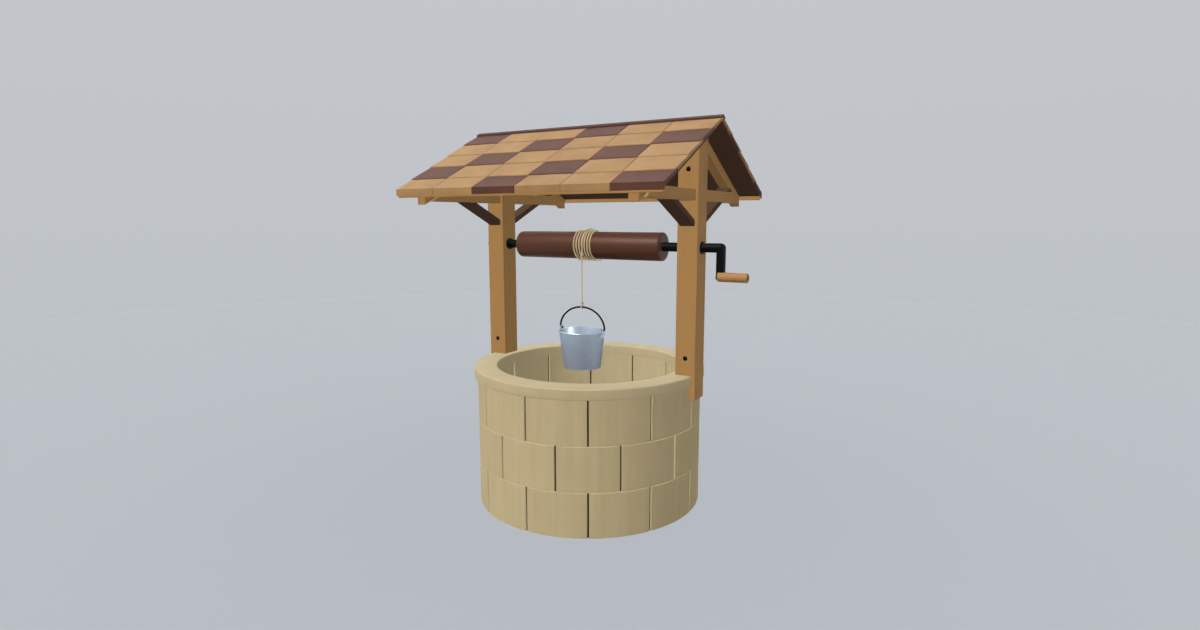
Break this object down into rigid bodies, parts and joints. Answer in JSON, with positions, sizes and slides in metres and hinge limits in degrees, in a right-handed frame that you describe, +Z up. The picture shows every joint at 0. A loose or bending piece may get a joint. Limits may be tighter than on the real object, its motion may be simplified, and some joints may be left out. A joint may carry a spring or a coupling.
{
  "type": "wishing well planter",
  "caption": "Round stone-block wishing well planter with a gabled tile roof on timber posts, a hand-cranked windlass, a rope and a metal bucket hanging over the open ring.",
  "frame": {"origin": "on the ground, under the middle of the whole object's box (the middle of its width with roof and crank, and of its depth)", "axes": "+Z up; +X along the ridge and the drum towards the crank; -Y towards the side that the bucket hangs on"},
  "size_m": [1.3368, 1.09, 1.6548],
  "materials": {
    "stone": "split sandstone blocks, matt",
    "coping_stone": "sawn pale sandstone, matt",
    "frame_timber": "oiled softwood with visible grain",
    "dark_timber": "dark-stained softwood",
    "drum_timber": "turned, red-brown stained wood",
    "roof_tile": "plain clay tiles in two colours, matt",
    "black_steel": "black painted steel, semi-gloss",
    "galvanised_steel": "galvanised sheet, satin",
    "rope": "laid natural-fibre rope"
  },
  "bodies": {
    "root": {"wall_course_1": "stone", "wall_course_2": "stone", "wall_course_3": "stone", "coping_ring": "coping_stone", "post_left": "frame_timber", "post_right": "frame_timber", "post_foot_bolt_left": "black_steel", "post_foot_bolt_right": "black_steel", "post_top_bolt_left": "black_steel", "post_top_bolt_right": "black_steel", "tie_beam_left": "frame_timber", "tie_beam_right": "frame_timber", "knee_brace_left_front": "dark_timber", "knee_brace_left_back": "dark_timber", "knee_brace_right_front": "dark_timber", "knee_brace_right_back": "dark_timber", "rafter_left_front": "frame_timber", "rafter_left_back": "frame_timber", "rafter_right_front": "frame_timber", "rafter_right_back": "frame_timber", "roof_deck_front": "dark_timber", "roof_deck_back": "dark_timber", "fascia_front": "frame_timber", "fascia_back": "frame_timber", "tile_row_front_1": "roof_tile", "tile_row_front_2": "roof_tile", "tile_row_front_3": "roof_tile", "tile_row_front_4": "roof_tile", "tile_row_front_5": "roof_tile", "tile_row_back_1": "roof_tile", "tile_row_back_2": "roof_tile", "tile_row_back_3": "roof_tile", "tile_row_back_4": "roof_tile", "tile_row_back_5": "roof_tile", "ridge_cap": "dark_timber", "axle_bush_left_inner": "black_steel", "axle_bush_left_outer": "black_steel", "axle_bush_right_inner": "black_steel", "axle_bush_right_outer": "black_steel"},
    "windlass": {"crank_axle": "black_steel", "axle_split_pin": "galvanised_steel", "drum_pin": "black_steel", "windlass_drum": "drum_timber", "rope_winding": "rope", "crank_grip_pin": "black_steel"},
    "grip": {"crank_grip": "frame_timber"},
    "bail": {"bucket_bail": "black_steel", "rope_fall": "rope"},
    "bucket": {"bucket_body": "galvanised_steel", "bucket_base": "galvanised_steel", "bucket_ear_left": "galvanised_steel", "bucket_ear_right": "galvanised_steel"}
  },
  "joints": [
    {"name": "windlass_turn", "type": "hinge", "parent": "root", "child": "windlass", "pos_m": [-0.0585, 0, 1.135], "axis": [-1, 0, 0], "range_deg": [-430, 140]},
    {"name": "grip_spin", "type": "hinge", "parent": "windlass", "child": "grip", "pos_m": [0.6, 0, 1.0187], "axis": [1, 0, 0], "continuous": true},
    {"name": "bail_lift", "type": "slide", "parent": "root", "child": "bail", "axis": [0, 0, 1], "range_m": [-0.545, 0.18], "deforming": ["rope_fall"]},
    {"name": "bucket_tip", "type": "hinge", "parent": "bail", "child": "bucket", "pos_m": [-0.0535, -0.07205, 0.77], "axis": [1, 0, 0], "range_deg": [-75, 75]}
  ],
  "couplings": [
    {"joint": "bail_lift", "follows": "windlass_turn", "m_per_rad": 0.07205}
  ]
}
